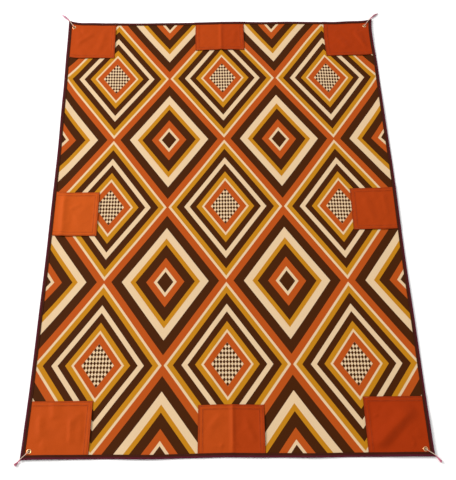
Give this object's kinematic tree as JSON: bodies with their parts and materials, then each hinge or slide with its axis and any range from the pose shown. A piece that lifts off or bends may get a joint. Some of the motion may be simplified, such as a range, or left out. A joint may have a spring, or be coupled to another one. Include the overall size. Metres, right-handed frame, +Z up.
{
  "type": "picnic blanket",
  "caption": "Thin printed blanket laid out flat, with a tape binding, patch pockets on its edges and a cord tie through an eyelet at each corner.",
  "frame": {"origin": "on the surface that the blanket lies on, under the middle of the blanket", "axes": "+Y along the blanket to its far end, +X to its right edge, +Z up"},
  "size_m": [1.4719, 2.0673, 0.0131],
  "materials": {
    "printed_cloth": "smooth printed cloth with a soft sheen, in cream, mustard, orange and dark brown",
    "pocket_cloth": "plain burnt orange cloth with topstitched hems",
    "binding_tape": "dark brown woven tape",
    "eyelet_brass": "rolled brass, slightly worn",
    "tie_cord": "thin twisted cord, cream turning pink",
    "knot_cord": "dusty pink threads bound into a soft brush"
  },
  "bodies": {
    "root": {"cloth": "printed_cloth", "binding_left": "binding_tape", "binding_right": "binding_tape", "binding_near": "binding_tape", "binding_far": "binding_tape", "pocket_near_left": "pocket_cloth", "pocket_near_mid": "pocket_cloth", "pocket_near_right": "pocket_cloth", "pocket_side_left": "pocket_cloth", "pocket_side_right": "pocket_cloth", "pocket_far_left": "pocket_cloth", "pocket_far_mid": "pocket_cloth", "pocket_far_right": "pocket_cloth", "eyelet_near_left": "eyelet_brass", "eyelet_near_right": "eyelet_brass", "eyelet_far_left": "eyelet_brass", "eyelet_far_right": "eyelet_brass", "tie_near_left": "tie_cord", "tie_near_right": "tie_cord", "tie_far_left": "tie_cord", "tie_far_right": "tie_cord", "knot_near_left": "knot_cord", "knot_near_right": "knot_cord", "knot_far_left": "knot_cord", "knot_far_right": "knot_cord"}
  },
  "joints": []
}
